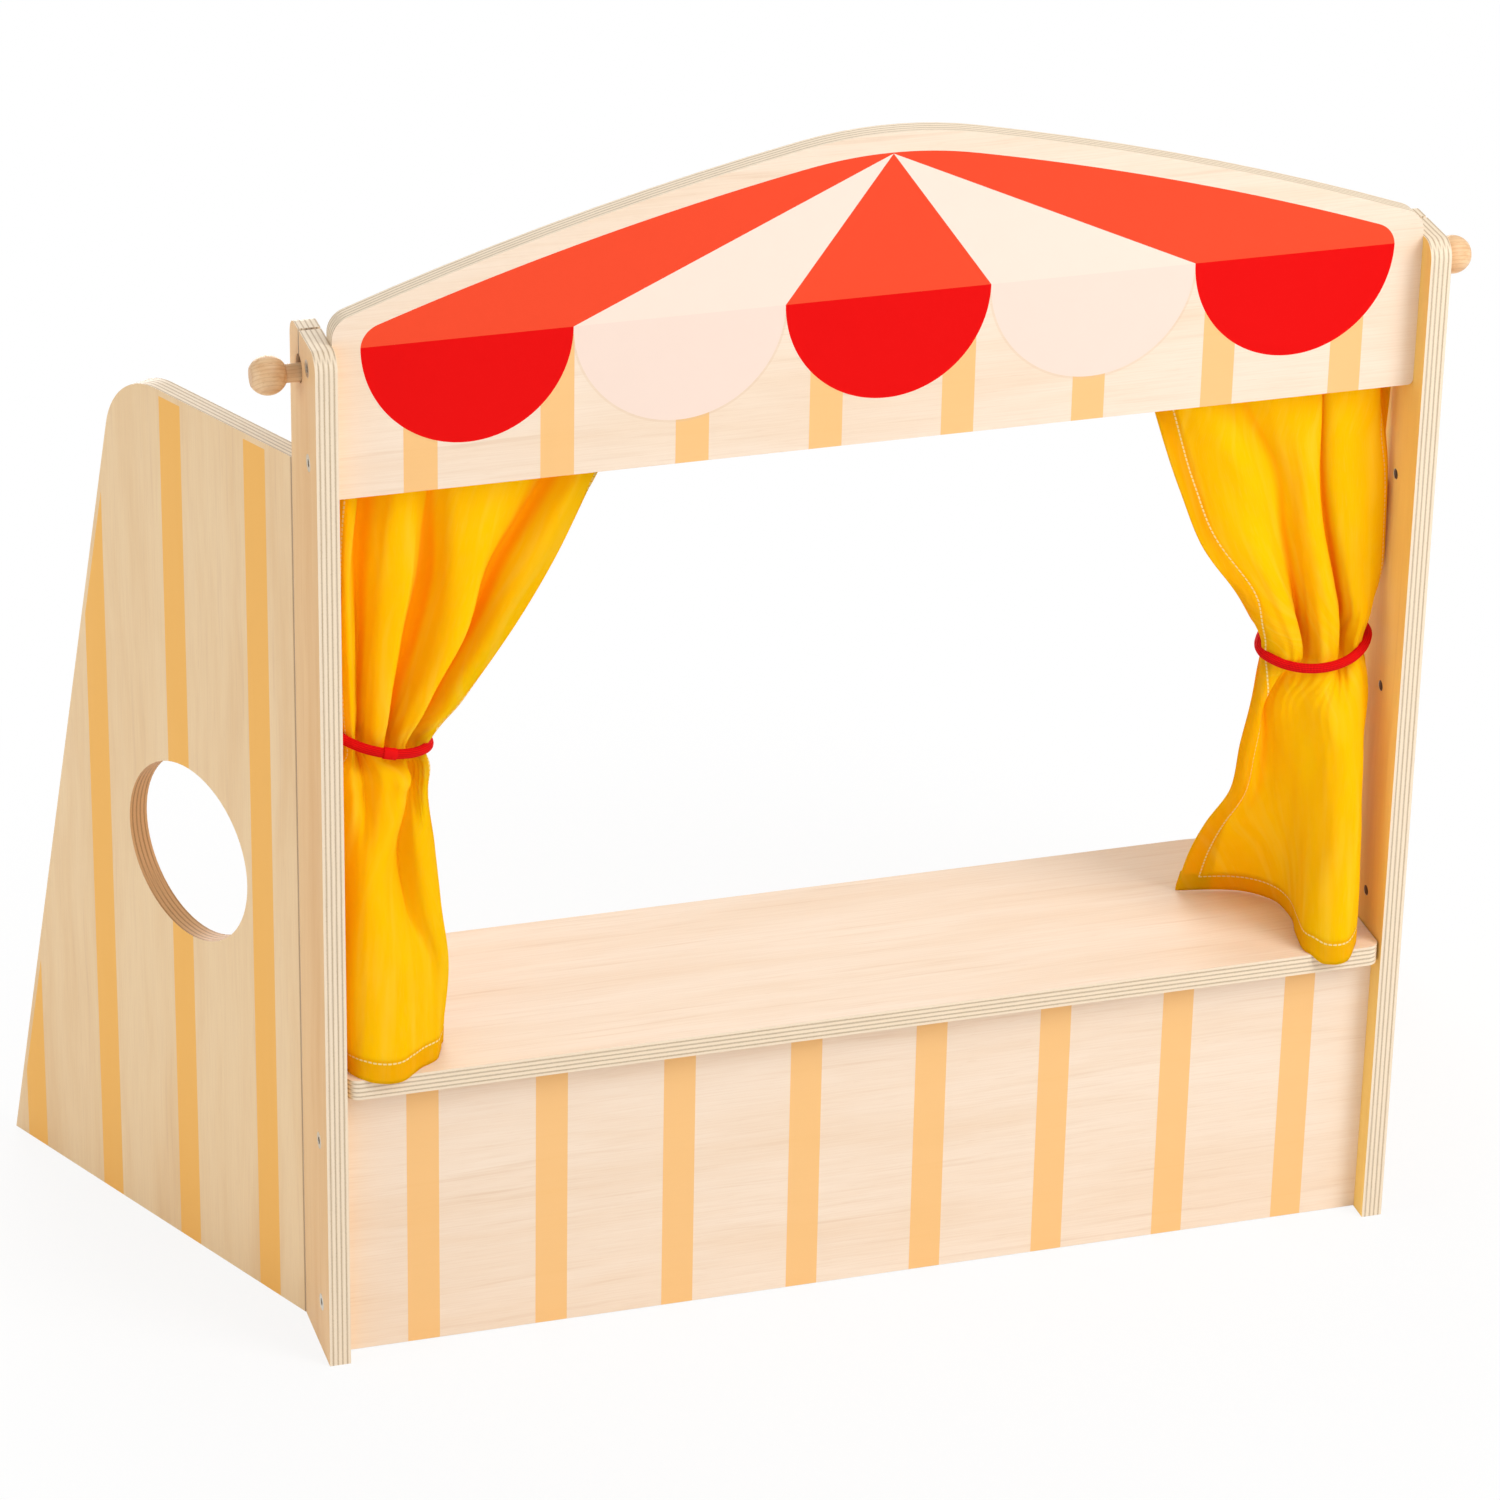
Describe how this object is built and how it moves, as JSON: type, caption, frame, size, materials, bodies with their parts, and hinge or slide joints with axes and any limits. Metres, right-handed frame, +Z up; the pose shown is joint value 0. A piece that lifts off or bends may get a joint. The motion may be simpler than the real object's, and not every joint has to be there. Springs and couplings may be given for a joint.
{
  "type": "tabletop puppet theatre",
  "caption": "Plywood tabletop puppet theatre with an arched header, striped panels, a stage shelf, hinged side wings with hand holes, and tied-back curtains sliding on a rod.",
  "frame": {"origin": "on the table, at the middle of the whole theatre's footprint", "axes": "+X to the right across the stage as the audience sees it, +Y from the audience to the back, +Z up"},
  "size_m": [0.8616, 0.3074, 0.6959],
  "materials": {
    "plywood": "clear satin lacquer over birch veneer, with printed stripes and awning",
    "beech": "sanded beech with clear lacquer",
    "steel": "zinc-plated, satin",
    "curtain_cloth": "plain woven yellow cotton",
    "elastic_cord": "covered red elastic cord"
  },
  "bodies": {
    "frame": {"left_post": "plywood", "right_post": "plywood", "header_board": "plywood", "front_panel": "plywood", "stage_shelf": "plywood", "header_screws": "steel", "panel_screws": "steel", "shelf_dowels": "beech", "left_upper_post_leaf": "steel", "left_upper_hinge_pin": "steel", "left_lower_post_leaf": "steel", "left_lower_hinge_pin": "steel", "left_post_leaf_screws": "steel", "right_upper_post_leaf": "steel", "right_upper_hinge_pin": "steel", "right_lower_post_leaf": "steel", "right_lower_hinge_pin": "steel", "right_post_leaf_screws": "steel"},
    "left_wing": {"left_wing": "plywood", "left_upper_wing_leaf": "steel", "left_lower_wing_leaf": "steel", "left_wing_leaf_screws": "steel"},
    "right_wing": {"right_wing": "plywood", "right_upper_wing_leaf": "steel", "right_lower_wing_leaf": "steel", "right_wing_leaf_screws": "steel"},
    "rod": {"curtain_rod": "beech", "left_rod_ball": "beech", "right_rod_ball": "beech"},
    "left_curtain": {"left_curtain": "curtain_cloth", "left_tie": "elastic_cord", "left_tie_sleeve": "elastic_cord"},
    "right_curtain": {"right_curtain": "curtain_cloth", "right_tie": "elastic_cord", "right_tie_sleeve": "elastic_cord"}
  },
  "joints": [
    {"name": "left_wing_hinge", "type": "hinge", "parent": "frame", "child": "left_wing", "pos_m": [-0.297, -0.0917, 0.2615], "axis": [0, 0, -1], "range_deg": [0, 26]},
    {"name": "right_wing_hinge", "type": "hinge", "parent": "frame", "child": "right_wing", "pos_m": [0.297, -0.0917, 0.2615], "axis": [0, 0, 1], "range_deg": [0, 26]},
    {"name": "rod_slide", "type": "slide", "parent": "frame", "child": "rod", "axis": [1, 0, 0], "range_m": [-0.0057, 0.0057]},
    {"name": "left_curtain_slide", "type": "slide", "parent": "frame", "child": "left_curtain", "axis": [1, 0, 0], "range_m": [0, 0.12]},
    {"name": "right_curtain_slide", "type": "slide", "parent": "frame", "child": "right_curtain", "axis": [-1, 0, 0], "range_m": [0, 0.12]}
  ]
}
